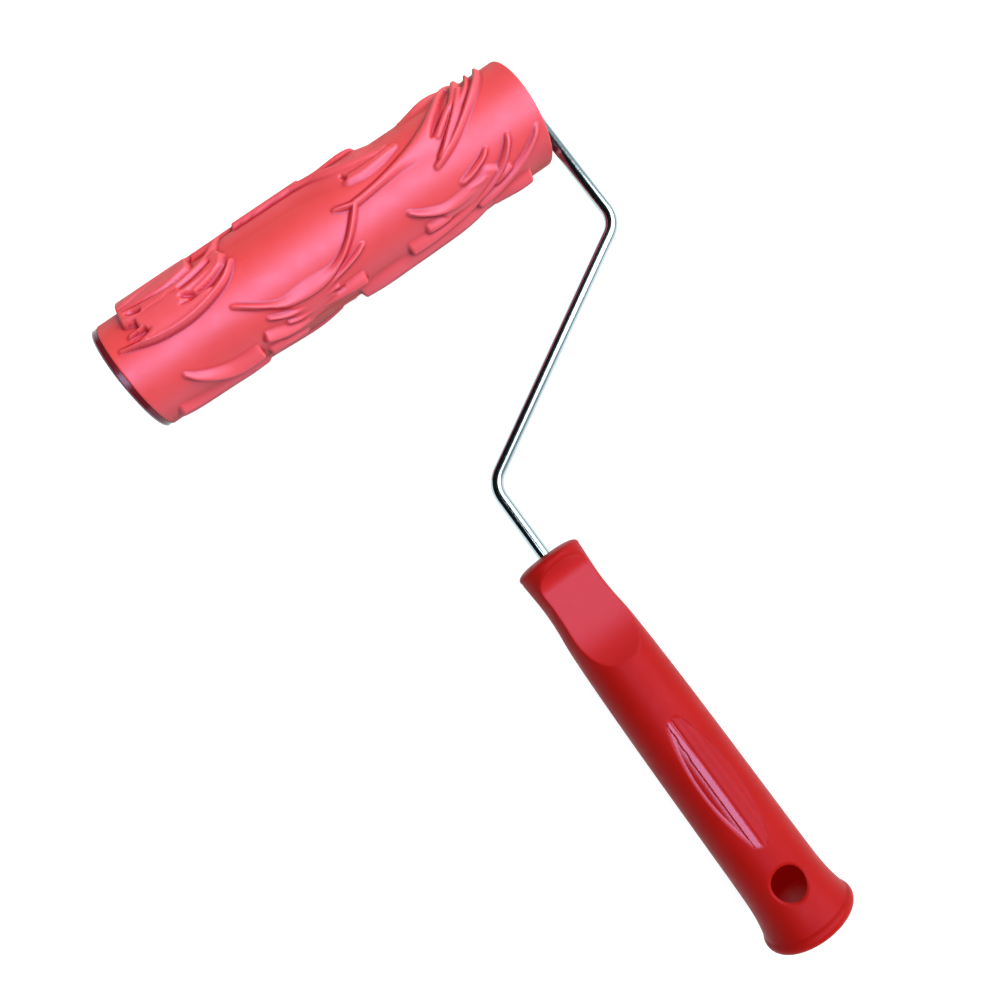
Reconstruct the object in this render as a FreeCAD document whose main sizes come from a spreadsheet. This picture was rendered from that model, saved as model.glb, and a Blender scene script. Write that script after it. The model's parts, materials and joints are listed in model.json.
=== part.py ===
import FreeCAD, Part
import Sketcher
import math
import os

# Textured pattern roller: a rubber pattern sleeve on a hard tube turns on a bent
# wire frame, and the wire is pressed into a moulded hand grip.
#
# Each piece is modelled about the middle of the roller: X along the roller, Y away
# from the grip, Z up. Its Placement then moves it to the row's origin, which is on the
# surface that the tool lies on, under the middle of its footprint.

os.makedirs("parts", exist_ok=True)
doc = FreeCAD.newDocument("pattern_roller")

# ---------------------------------------------------------- driving sizes (mm)
SIZES = {
    # pattern sleeve and its tube
    "sleeve_length": 178.0,
    "barrel_radius": 21.65,
    "relief_height": 2.9,
    "edge_round": 0.7,
    "tube_radius": 20.0,
    "tube_wall": 2.0,
    "tube_rim": 2.5,
    "rim_radius": 21.3,
    "tube_short": 0.4,
    # end caps, placed from the middle of the roller
    "hub_face": 82.0,
    "hub_length": 14.0,
    "hub_radius": 7.0,
    "web_face": 80.0,
    "web_thickness": 2.5,
    "skirt_face": 87.0,
    "skirt_length": 12.0,
    "skirt_wall": 1.8,
    "rib_thickness": 1.4,
    "rib_overlap": 0.3,
    # flanged bushes and the hardware on the axle
    "bush_radius": 4.2,
    "flange_radius": 5.8,
    "flange_thickness": 1.0,
    "running_gap": 0.05,
    "end_play": 0.1,
    "washer_radius": 5.5,
    "washer_thickness": 1.0,
    "collar_radius": 4.3,
    "collar_length": 2.3,
    "nut_radius": 5.0,
    "nut_skirt": 2.4,
    "nut_length": 3.3,
    "nut_crown": 0.8,
    # wire frame
    "wire_radius": 2.5,
    "leg_offset": 93.1,
    "leg_drop": 56.3,
    "shank_offset": 5.23,
    "shank_start": 111.7,
    "axle_bend": 6.5,
    "elbow_bend": 10.0,
    # hand grip, placed from its top rim
    "grip_top": 145.0,
    "grip_length": 158.0,
    "shank_in_grip": 80.0,
    "lip_radius": 17.9,
    "lip_bead": 2.8,
    "scoop_radius": 45.0,
    "scoop_floor": 7.3,
    "scoop_middle": 25.0,
    "recess_depth": 10.0,
    "recess_mouth": 12.6,
    "recess_floor": 12.0,
    "hang_radius": 6.15,
    "hang_from_butt": 21.0,
}
SIZES["outer_radius"] = SIZES["barrel_radius"] + SIZES["relief_height"]
left_end = -SIZES["sleeve_length"] / 2 - SIZES["tube_rim"]
right_end = SIZES["leg_offset"] + SIZES["wire_radius"]
butt_end = -SIZES["grip_top"] - SIZES["grip_length"]
SIZES["centre_x"] = -(left_end + right_end) / 2
SIZES["centre_y"] = -(butt_end + SIZES["outer_radius"]) / 2
SIZES["centre_z"] = SIZES["outer_radius"]

# The grip's outline down to the foot of its butt lip: (distance from the top, radius).
GRIP_STATIONS = [
    (0.0, 13.3), (7.0, 12.75), (16.0, 12.3), (24.0, 12.6), (34.0, 13.5), (52.0, 14.15),
    (77.0, 14.6), (107.0, 14.85), (134.0, 15.05), (144.0, 15.4), (150.0, 16.3), (154.0, 17.3),
]

# Raised strokes of the pattern, each a brush stroke laid on the barrel. Its points run
# down its middle as (distance along the roller, degrees round it, half its width).
# 90 degrees is the top of the roller as the tool lies, and 180 degrees faces the grip.
STROKES = [
    [(-85, 88, 0.6), (-72, 94, 3.0), (-58, 95, 4.0), (-46, 88, 3.4), (-35, 71, 0.5)],
    [(-80, 80, 1.2), (-66, 79, 3.4), (-52, 73, 3.4), (-38, 63, 1.4)],
    [(-79, 65, 1.2), (-66, 63, 3.2), (-50, 56, 3.4), (-38, 48, 1.2)],
    [(-79, 48, 1.6), (-66, 46, 3.6), (-52, 36, 4.0), (-42, 22, 1.2)],
    [(-44, 110, 0.5), (-36, 122, 1.7), (-24, 134, 2.6), (-8, 132, 2.2), (4, 115, 1.3), (13, 96, 1.0)],
    [(13, 96, 1.0), (25, 93, 1.6), (37, 86, 2.4), (48, 77, 3.2), (60, 63, 2.0)],
    [(5, 89, 0.7), (9, 93, 1.2), (13, 96, 1.0)],
    [(-14, 147, 0.8), (-4, 139, 1.6), (7.5, 128, 0.9)],
    [(15, 77, 1.4), (26, 76, 2.2), (36, 71, 0.8)],
    [(-2, 40, 2.0), (10, 50, 3.4), (24, 57, 3.4), (38, 60, 1.0)],
    [(45, 111, 0.9), (56, 100, 2.0), (66, 86, 2.2), (73, 68, 2.2), (79, 48, 1.4)],
    [(52, 86, 1.0), (58, 75, 2.2), (64, 62, 1.6), (68, 48, 1.0)],
    [(28, 131, 0.9), (36, 140, 2.2), (48, 146, 3.0), (58, 146, 1.2)],
    [(53, 133, 1.0), (58, 128, 1.3), (63, 122, 0.9)],
    [(54, 166, 1.6), (62, 152, 2.2), (68, 138, 1.8), (73, 122, 1.0)],
    [(60, 166, 1.4), (72, 153, 2.0), (80, 142, 1.4), (85, 131, 0.8)],
    [(31, 152, 1.8), (36, 153, 1.8), (41, 152, 1.4)],
    [(21, 162, 2.4), (32, 164, 2.4), (44, 160, 1.4)],
    [(-72, 136, 0.9), (-66, 149, 2.0), (-57, 161, 2.6), (-45, 162, 2.6)],
    [(-82, 172, 2.4), (-68, 182, 4.0), (-54, 190, 3.2), (-44, 194, 1.2)],
    [(-42, 150, 2.2), (-34, 156, 2.2), (-25, 162, 1.6)],
    [(1.5, 156, 2.4), (-6, 158, 2.0), (-14, 152, 0.8)],
    [(-4, 186, 2.4), (14, 182, 4.0), (32, 178, 4.0), (50, 172, 1.6)],
    [(-40, 14, 1.0), (-24, 6, 3.0), (-6, 0, 3.8), (12, 10, 3.0), (26, 22, 1.0)],
    [(30, -20, 1.0), (44, -6, 3.0), (58, 10, 3.4), (72, 20, 2.6), (80, 34, 1.0)],
    [(-84, 2, 0.8), (-70, -8, 3.2), (-52, -12, 3.8), (-34, -22, 2.6), (-22, -36, 0.8)],
    [(-80, 214, 1.0), (-66, 222, 3.0), (-50, 226, 3.6), (-34, 218, 2.6), (-22, 204, 0.8)],
    [(-60, 258, 1.0), (-44, 248, 2.8), (-26, 246, 3.6), (-8, 250, 2.8), (4, 257, 0.8)],
    [(-2, 226, 0.8), (14, 232, 2.6), (32, 230, 3.4), (50, 220, 2.8), (64, 206, 0.8)],
    [(78, 244, 0.8), (74, 256, 2.2), (69, 268, 2.6), (63, 280, 2.6), (56, 288, 1.8), (48, 292, 0.8)],
    [(-84, 250, 0.8), (-80, 260, 2.2), (-75, 270, 2.6), (-68, 281, 2.8), (-58, 290, 2.4), (-44, 295, 0.8)],
    [(-10, 312, 0.8), (6, 302, 2.6), (24, 298, 3.4), (42, 304, 2.6), (56, 316, 0.8)],
]

sheet = doc.addObject("Spreadsheet::Sheet", "Sizes")
for row, (alias, value) in enumerate(SIZES.items(), start=1):
    sheet.set(f"A{row}", alias)
    sheet.set(f"B{row}", str(round(value, 4)))
    sheet.setAlias(f"B{row}", alias)
doc.recompute()

subparts = []


# ---------------------------------------------------------------------- helpers
def bind(obj, **formulas):
    """Tie properties to the sheet; a double underscore stands for a dot."""
    for name, formula in formulas.items():
        obj.setExpression(name.replace("__", "."), formula)


def finished(obj, label, x="0", y="0", turn=None):
    """Label a finished sub-part and place its shape in the row's frame."""
    obj.Label = label
    if turn is not None:
        obj.Placement = FreeCAD.Placement(FreeCAD.Vector(), turn)
    bind(
        obj,
        Placement__Base__x=f"Sizes.centre_x + {x}",
        Placement__Base__y=f"Sizes.centre_y + {y}",
        Placement__Base__z="Sizes.centre_z",
    )
    subparts.append(obj)
    return obj


def solid(kind, name, **formulas):
    """A Part primitive whose sizes and place are formulas on the sheet."""
    obj = doc.addObject("Part::" + kind, name)
    bind(obj, **formulas)
    return obj


def joined(name, shapes):
    obj = doc.addObject("Part::MultiFuse", name)
    obj.Shapes = shapes
    return obj


def cut(name, base, tool):
    obj = doc.addObject("Part::Cut", name)
    obj.Base = base
    obj.Tool = tool
    return obj


def outline_sketch(body, name, corners):
    """A closed outline on the body's XY plane: corners are (x, y) formulas."""
    sketch = body.newObject("Sketcher::SketchObject", name)
    plane = [f for f in body.Origin.OriginFeatures if f.Role == "XY_Plane"][0]
    sketch.AttachmentSupport = [(plane, "")]
    sketch.MapMode = "FlatFace"
    count = len(corners)
    rough = [
        FreeCAD.Vector(math.cos(2 * math.pi * i / count), 10 + math.sin(2 * math.pi * i / count), 0)
        for i in range(count)
    ]
    for i in range(count):
        sketch.addGeometry(Part.LineSegment(rough[i], rough[(i + 1) % count]), False)
    for i in range(count):
        sketch.addConstraint(Sketcher.Constraint("Coincident", i, 2, (i + 1) % count, 1))
    for i, corner in enumerate(corners):
        for letter, formula, start in zip("XY", corner, rough[i]):
            rule = Sketcher.Constraint("Distance" + letter, -1, 1, i, 1, start)
            sketch.renameConstraint(sketch.addConstraint(rule), f"corner{i}{letter}")
            sketch.setExpression(f"Constraints.corner{i}{letter}", formula)
    return sketch


def turned_body(name, corners):
    """A body turned about the roller's axis: corners are (along, radius) formulas."""
    body = doc.addObject("PartDesign::Body", name)
    sketch = outline_sketch(body, name + "_profile", corners)
    turn = body.newObject("PartDesign::Revolution", name + "_turn")
    turn.Profile = sketch
    turn.ReferenceAxis = (sketch, ["H_Axis"])
    turn.Angle = 360.0
    return body


def ring(name, start, end, outer, inner):
    """A plain ring on the axle."""
    return turned_body(name, [(start, inner), (start, outer), (end, outer), (end, inner)])


def rounded_path(corners, radii):
    """Straight runs through the corners, joined by tangent arcs of the given radii."""
    edges = []
    start = corners[0]
    for before, corner, after, radius in zip(corners, corners[1:], corners[2:], radii):
        along = (corner - before).normalize()
        onward = (after - corner).normalize()
        half_turn = along.getAngle(onward) / 2
        set_back = radius * math.tan(half_turn)
        enter = corner - along * set_back
        leave = corner + onward * set_back
        inward = (onward - along).normalize()
        middle = corner + inward * (radius / math.cos(half_turn) - radius)
        edges.append(Part.LineSegment(start, enter).toShape())
        edges.append(Part.Arc(enter, middle, leave).toShape())
        start = leave
    edges.append(Part.LineSegment(start, corners[-1]).toShape())
    return Part.Wire(edges)


def stroke_pad(points, foot_radius, top_radius):
    """One raised stroke: its outline pushed straight out through the barrel's skin."""
    facing = math.radians(sum(angle for _, angle, _ in points) / len(points))
    out = FreeCAD.Vector(0, math.cos(facing), math.sin(facing))
    across = FreeCAD.Vector(0, -math.sin(facing), math.cos(facing))
    middle = [(x, math.radians(angle) * top_radius) for x, angle, _ in points]
    sides = ([], [])
    for i, (x, arc) in enumerate(middle):
        x_before, arc_before = middle[max(i - 1, 0)]
        x_after, arc_after = middle[min(i + 1, len(middle) - 1)]
        run = math.hypot(x_after - x_before, arc_after - arc_before)
        normal = (-(arc_after - arc_before) / run, (x_after - x_before) / run)
        for side, sign in zip(sides, (1, -1)):
            shift = sign * points[i][2]
            angle = (arc + shift * normal[1]) / top_radius - facing
            place = across * (top_radius * math.sin(angle)) + out * (foot_radius / 2)
            place.x = x + shift * normal[0]
            side.append(place)
    curves = []
    for side in sides:
        curve = Part.BSplineCurve()
        curve.interpolate(side)
        curves.append(curve.toShape())
    ends = [Part.LineSegment(sides[0][k], sides[1][k]).toShape() for k in (0, -1)]
    wire = Part.Wire(Part.__sortEdges__([curves[0], ends[1], curves[1], ends[0]]))
    block = Part.Face(wire).extrude(out * (2 * top_radius))
    length = SIZES["sleeve_length"]
    start = FreeCAD.Vector(-length / 2, 0, 0)
    along = FreeCAD.Vector(1, 0, 0)
    skin = Part.makeCylinder(top_radius, length, start, along)
    skin = skin.cut(Part.makeCylinder(foot_radius, length, start, along))
    return block.common(skin)


# ---------------------------------------------------------------- pattern sleeve
def make_pattern_sleeve():
    half = "Sizes.sleeve_length / 2"
    barrel = turned_body("barrel", [
        (f"-{half}", "Sizes.tube_radius"),
        (f"-{half}", "Sizes.barrel_radius - Sizes.edge_round"),
        (f"-{half} + Sizes.edge_round", "Sizes.barrel_radius"),
        (f"{half} - Sizes.edge_round", "Sizes.barrel_radius"),
        (half, "Sizes.barrel_radius - Sizes.edge_round"),
        (half, "Sizes.tube_radius"),
    ])
    skin_overlap = 0.5
    foot_radius = SIZES["barrel_radius"] - skin_overlap
    pads = []
    for number, points in enumerate(STROKES, start=1):
        pad = doc.addObject("Part::Feature", f"stroke_{number}")
        pad.Shape = stroke_pad(points, foot_radius, SIZES["outer_radius"])
        pads.append(pad)
    finished(joined("sleeve", [barrel] + pads), "pattern_sleeve")


def make_core_tube():
    """A tube as long as the sleeve, with a rim round its left end that the sleeve is pushed up to."""
    half = "Sizes.sleeve_length / 2"
    right = f"{half} - Sizes.tube_short"
    left = f"-{half} - Sizes.tube_rim"
    bore = "Sizes.tube_radius - Sizes.tube_wall"
    tube = turned_body("tube", [
        (left, bore),
        (left, "Sizes.rim_radius - Sizes.edge_round"),
        (f"{left} + Sizes.edge_round", "Sizes.rim_radius"),
        (f"-{half}", "Sizes.rim_radius"),
        (f"-{half}", "Sizes.tube_radius"),
        (right, "Sizes.tube_radius"),
        (right, bore),
    ])
    finished(tube, "core_tube")


# --------------------------------------------------- end caps and their bushes
def make_end_cap(side, name):
    """A dished plug: skirt, web, hub and ribs. side is 1 on the leg's end, else -1."""
    skirt_outer = "Sizes.tube_radius - Sizes.tube_wall"
    skirt_inner = f"{skirt_outer} - Sizes.skirt_wall"
    web_back = f"{side} * (Sizes.web_face - Sizes.web_thickness)"
    hub_front = f"{side} * Sizes.hub_face"
    hub_back = f"{side} * (Sizes.hub_face - Sizes.hub_length)"
    skirt_front = f"{side} * Sizes.skirt_face"
    skirt_back = f"{side} * (Sizes.skirt_face - Sizes.skirt_length)"
    body = turned_body(name, [
        (hub_front, "Sizes.bush_radius"),
        (hub_front, "Sizes.hub_radius"),
        (f"{side} * Sizes.web_face", "Sizes.hub_radius"),
        (f"{side} * Sizes.web_face", skirt_inner),
        (skirt_front, skirt_inner),
        (skirt_front, skirt_outer),
        (skirt_back, skirt_outer),
        (skirt_back, skirt_inner),
        (web_back, skirt_inner),
        (web_back, "Sizes.hub_radius"),
        (hub_back, "Sizes.hub_radius"),
        (hub_back, "Sizes.bush_radius"),
    ])
    into_web = f"{side} * (Sizes.web_face - Sizes.web_thickness + Sizes.rib_overlap)"
    sketch = outline_sketch(body, name + "_rib_profile", [
        (skirt_back, "Sizes.hub_radius - Sizes.rib_overlap"),
        (skirt_back, f"{skirt_inner} + Sizes.rib_overlap"),
        (into_web, f"{skirt_inner} + Sizes.rib_overlap"),
        (into_web, "Sizes.hub_radius - Sizes.rib_overlap"),
    ])
    doc.recompute()
    rib = body.newObject("PartDesign::Pad", name + "_rib")
    rib.Profile = sketch
    rib.Midplane = True
    bind(rib, Length="Sizes.rib_thickness")
    doc.recompute()
    ribs = body.newObject("PartDesign::PolarPattern", name + "_ribs")
    ribs.Originals = [rib]
    ribs.Axis = (sketch, ["H_Axis"])
    ribs.Angle = 360.0
    ribs.Occurrences = 6
    body.Tip = ribs
    finished(body, name)


def make_bush(side, name):
    """A flanged plain bearing, pressed into the cap's hub, that runs on the axle."""
    bore = "Sizes.wire_radius + Sizes.running_gap"
    face = f"{side} * Sizes.hub_face"
    flange = f"{side} * (Sizes.hub_face + Sizes.flange_thickness)"
    back = f"{side} * (Sizes.hub_face - Sizes.hub_length)"
    body = turned_body(name, [
        (flange, bore),
        (flange, "Sizes.flange_radius"),
        (face, "Sizes.flange_radius"),
        (face, "Sizes.bush_radius"),
        (back, "Sizes.bush_radius"),
        (back, bore),
    ])
    finished(body, name)


# ------------------------------------------------------- hardware on the axle
FLANGE_FACE = "Sizes.hub_face + Sizes.flange_thickness + Sizes.end_play"
WASHER_FACE = f"({FLANGE_FACE} + Sizes.washer_thickness)"


def make_washer(side, name):
    bore = "Sizes.wire_radius + Sizes.running_gap"
    washer = ring(name, f"{side} * ({FLANGE_FACE})", f"{side} * {WASHER_FACE}", "Sizes.washer_radius", bore)
    finished(washer, name)


def make_stop_collar():
    """The pressed ring that keeps the roller off the axle's bend."""
    end = f"{WASHER_FACE} + Sizes.collar_length"
    collar = ring("collar", WASHER_FACE, end, "Sizes.collar_radius", "Sizes.wire_radius")
    finished(collar, "stop_collar")


def make_push_nut():
    """The capped nut pushed on the axle's free end, inside the dish of the cap."""
    axle_end = f"-1 * ({WASHER_FACE} + Sizes.nut_length)"
    crown = f"{axle_end} - Sizes.nut_crown"
    nut = turned_body("nut", [
        (f"-1 * {WASHER_FACE}", "Sizes.wire_radius"),
        (f"-1 * {WASHER_FACE}", "Sizes.nut_radius"),
        (f"-1 * ({WASHER_FACE} + Sizes.nut_skirt)", "Sizes.nut_radius"),
        (crown, "Sizes.wire_radius"),
        (crown, "0"),
        (axle_end, "0"),
        (axle_end, "Sizes.wire_radius"),
    ])
    finished(nut, "push_nut")


# --------------------------------------------------------------- wire frame
def make_wire_frame():
    """Axle, leg, slanted run and shank, bent from one rod."""
    washer_face = SIZES["hub_face"] + SIZES["flange_thickness"] + SIZES["end_play"] + SIZES["washer_thickness"]
    axle_end = washer_face + SIZES["nut_length"]
    shank_end = SIZES["grip_top"] + SIZES["shank_in_grip"]
    corners = [
        FreeCAD.Vector(-axle_end, 0, 0),
        FreeCAD.Vector(SIZES["leg_offset"], 0, 0),
        FreeCAD.Vector(SIZES["leg_offset"], -SIZES["leg_drop"], 0),
        FreeCAD.Vector(-SIZES["shank_offset"], -SIZES["shank_start"], 0),
        FreeCAD.Vector(-SIZES["shank_offset"], -shank_end, 0),
    ]
    path = doc.addObject("Part::Feature", "wire_path")
    path.Shape = rounded_path(corners, [SIZES["axle_bend"], SIZES["elbow_bend"], SIZES["elbow_bend"]])
    section = solid("Circle", "wire_section", Radius="Sizes.wire_radius")
    section.Placement = FreeCAD.Placement(
        corners[0], FreeCAD.Rotation(FreeCAD.Vector(0, 0, 1), FreeCAD.Vector(1, 0, 0))
    )
    sweep = doc.addObject("Part::Sweep", "wire")
    sweep.Sections = [section]
    sweep.Spine = (path, [f"Edge{i + 1}" for i in range(len(path.Shape.Edges))])
    sweep.Solid = True
    sweep.Frenet = False
    finished(sweep, "wire_frame")


# ---------------------------------------------------------------- hand grip
def make_handle_grip():
    """Modelled from its top rim along +Z, with its thumb side at +Y, and then turned."""
    circles = []
    for number, (distance, radius) in enumerate(GRIP_STATIONS, start=1):
        circle = doc.addObject("Part::Circle", f"grip_station_{number}")
        circle.Radius = radius
        circle.Placement.Base = FreeCAD.Vector(0, 0, distance)
        circles.append(circle)
    loft = doc.addObject("Part::Loft", "grip_outline")
    loft.Sections = circles
    loft.Solid = True
    loft.Ruled = False

    lip_core = solid(
        "Cylinder", "lip_core", Radius="Sizes.lip_radius - Sizes.lip_bead",
        Height="2 * Sizes.lip_bead", Placement__Base__z="Sizes.grip_length - 2 * Sizes.lip_bead",
    )
    lip_bead = solid(
        "Torus", "lip_bead", Radius1="Sizes.lip_radius - Sizes.lip_bead",
        Radius2="Sizes.lip_bead", Placement__Base__z="Sizes.grip_length - Sizes.lip_bead",
    )
    shank_hole = solid("Cylinder", "shank_hole", Radius="Sizes.wire_radius", Height="Sizes.shank_in_grip")
    recess = solid(
        "Cone", "butt_recess", Radius1="Sizes.recess_floor", Radius2="Sizes.recess_mouth",
        Height="Sizes.recess_depth", Placement__Base__z="Sizes.grip_length - Sizes.recess_depth",
    )
    hang_hole = solid(
        "Cylinder", "hang_hole", Radius="Sizes.hang_radius", Height="4 * Sizes.lip_radius",
        Placement__Base__y="2 * Sizes.lip_radius",
        Placement__Base__z="Sizes.grip_length - Sizes.hang_from_butt",
    )
    hang_hole.Placement.Rotation = FreeCAD.Rotation(FreeCAD.Vector(1, 0, 0), 90)
    scoops = []
    for side, word in ((1, "front"), (-1, "back")):
        scoop = solid(
            "Cylinder", f"scoop_{word}", Radius="Sizes.scoop_radius", Height="4 * Sizes.lip_radius",
            Placement__Base__x="-2 * Sizes.lip_radius",
            Placement__Base__y=f"{side} * (Sizes.scoop_radius + Sizes.scoop_floor)",
            Placement__Base__z="Sizes.scoop_middle",
        )
        scoop.Placement.Rotation = FreeCAD.Rotation(FreeCAD.Vector(0, 1, 0), 90)
        scoops.append(scoop)
    hollows = joined("grip_hollows", [shank_hole, recess, hang_hole] + scoops)
    grip = cut("grip", joined("grip_solid", [loft, lip_core, lip_bead]), hollows)
    down_the_shank = FreeCAD.Rotation(FreeCAD.Vector(1, 0, 0), 90)
    finished(grip, "handle_grip", x="-1 * Sizes.shank_offset", y="-1 * Sizes.grip_top", turn=down_the_shank)


make_pattern_sleeve()
make_core_tube()
for side, word in ((-1, "left"), (1, "right")):
    make_end_cap(side, f"end_cap_{word}")
    make_bush(side, f"bush_{word}")
    make_washer(side, f"washer_{word}")
make_stop_collar()
make_push_nut()
make_wire_frame()
make_handle_grip()
doc.recompute()

# ------------------------------------------------------------ check and write
for obj in doc.Objects:
    if "Invalid" in obj.State or "Error" in obj.State:
        raise RuntimeError(f"{obj.Label} failed: {obj.State}")
for obj in subparts:
    if obj.Shape.isNull() or not obj.Shape.isValid():
        raise RuntimeError(f"{obj.Label} has no valid shape")
whole = FreeCAD.BoundBox()
for obj in subparts:
    shape = obj.Shape
    whole.add(shape.BoundBox)
    print(f"{obj.Label}: {len(shape.Solids)} solid(s), {shape.Volume / 1000:.2f} cm3")
    shape.exportStep(f"parts/{obj.Label}.step")
print(f"x {whole.XMin:.2f} to {whole.XMax:.2f}, y {whole.YMin:.2f} to {whole.YMax:.2f}, "
      f"z {whole.ZMin:.2f} to {whole.ZMax:.2f}")
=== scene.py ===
import json
import math

import bpy
import numpy as np
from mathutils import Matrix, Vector


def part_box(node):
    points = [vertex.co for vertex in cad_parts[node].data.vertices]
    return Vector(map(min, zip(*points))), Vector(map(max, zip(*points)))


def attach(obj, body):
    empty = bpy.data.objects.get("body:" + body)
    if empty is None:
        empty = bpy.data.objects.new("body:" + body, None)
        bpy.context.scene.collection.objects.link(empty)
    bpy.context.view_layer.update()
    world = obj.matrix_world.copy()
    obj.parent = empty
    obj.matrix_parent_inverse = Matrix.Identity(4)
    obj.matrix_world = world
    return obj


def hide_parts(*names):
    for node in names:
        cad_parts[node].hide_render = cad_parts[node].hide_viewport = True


# Textured pattern roller. The wire frame, tube, caps, bushes and axle hardware are the
# CAD nodes with better materials. The pattern sleeve and the hand grip are replaced by
# finer meshes: the sleeve carries the full relief, and the grip its scoops and flutes.
# Lengths are in mm up to the places where MM turns them into metres.

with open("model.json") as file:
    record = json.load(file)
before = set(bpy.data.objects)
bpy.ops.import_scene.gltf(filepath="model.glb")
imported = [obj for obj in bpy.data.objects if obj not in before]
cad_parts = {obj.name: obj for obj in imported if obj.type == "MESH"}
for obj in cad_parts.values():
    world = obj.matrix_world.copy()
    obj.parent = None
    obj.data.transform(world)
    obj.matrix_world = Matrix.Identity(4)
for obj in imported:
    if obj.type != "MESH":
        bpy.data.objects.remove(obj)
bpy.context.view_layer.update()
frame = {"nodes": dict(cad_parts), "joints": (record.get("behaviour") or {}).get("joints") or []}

MM = 0.001
# Angles in degrees above which a mesh's edges are sharp.
ALL_SMOOTH = 180
GRIP_SHARP = 40
# Further than any distance that is measured on the unrolled barrel.
FAR = 1e3

ROLLER_CENTRE = Vector(frame["joints"][0]["pos_m"])


# ------------------------------------------------------------------ mesh helpers
def shade_smooth(mesh, smooth_angle):
    """Smooth shading, with sharp edges where faces turn more than an angle in degrees."""
    mesh.polygons.foreach_set("use_smooth", [True] * len(mesh.polygons))
    mesh.set_sharp_from_angle(angle=math.radians(smooth_angle))


def new_object(name, vertices, faces, smooth_angle):
    """A mesh object whose faces are smooth up to an angle in degrees."""
    mesh = bpy.data.meshes.new(name)
    mesh.from_pydata(vertices, [], faces)
    mesh.update()
    mesh.validate()
    shade_smooth(mesh, smooth_angle)
    obj = bpy.data.objects.new(name, mesh)
    bpy.context.scene.collection.objects.link(obj)
    return obj


def ring_grid(rows):
    """Vertices and quads of a skin through rows of points, each row a full ring."""
    count = len(rows[0])
    vertices = np.concatenate(rows)
    first = np.arange(len(rows) - 1)[:, None] * count
    here = np.arange(count)[None, :]
    after = (here + 1) % count
    quads = np.stack(
        [first + here, first + after, first + after + count, first + here + count], -1)
    return vertices, quads.reshape(-1, 4)


def capped_skin(name, rows, smooth_angle):
    """An object made of rings, with one flat face over the first and one over the last."""
    vertices, quads = ring_grid(rows)
    count = len(rows[0])
    ends = [list(range(count))[::-1], list(range(len(vertices) - count, len(vertices)))]
    return new_object(name, vertices.tolist(), quads[:, ::-1].tolist() + ends, smooth_angle)


def smoothstep(t):
    """An eased step from 0 to 1 as t goes from 0 to 1."""
    t = np.clip(t, 0.0, 1.0)
    return t * t * (3.0 - 2.0 * t)


def spline(points, per_span=6):
    """A smooth curve through the rows of points (Catmull-Rom)."""
    points = np.array(points, float)
    padded = np.vstack([2 * points[0] - points[1], points, 2 * points[-1] - points[-2]])
    t = (np.arange(per_span) / per_span)[:, None]
    spans = []
    for p0, p1, p2, p3 in zip(padded, padded[1:], padded[2:], padded[3:]):
        spans.append(
            0.5 * (2 * p1 + (p2 - p0) * t + (2 * p0 - 5 * p1 + 4 * p2 - p3) * t**2
                   + (3 * p1 - p0 - 3 * p2 + p3) * t**3)
        )
    return np.vstack(spans + [points[-1:]])


# ------------------------------------------------------------- the sleeve's relief
BARREL_RADIUS = 21.65
TOP_RADIUS = 24.4
SLEEVE_BORE = 20.0
EDGE_ROUND = 0.7
# The mesh's grid: mm along the roller, and how many fewer columns go round it than that
# pitch would need.
SLEEVE_PITCH = 0.42
COLUMN_SHARE = 0.94
# The rubber has its full painted sheen, a pinker colour on the strokes, this far above the barrel.
RAISED_SHEEN_AT = 1.4
# Painted shade: a place is darkened where the relief, softened this many times, stands
# above it. It has the full painted shade at this depth.
HOLLOW_SHADE_PASSES = 7
HOLLOW_SHADE_DEPTH = 0.30
# The width of the wall at a stroke's blunt end, and of a groove's walls.
BLUNT_WALL = 0.8
GROOVE_WALL = 0.75
# The kernel that rounds the relief: the weight of a place and of each neighbour.
SOFT_MIDDLE = 0.6
SOFT_BESIDE = 0.2

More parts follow.
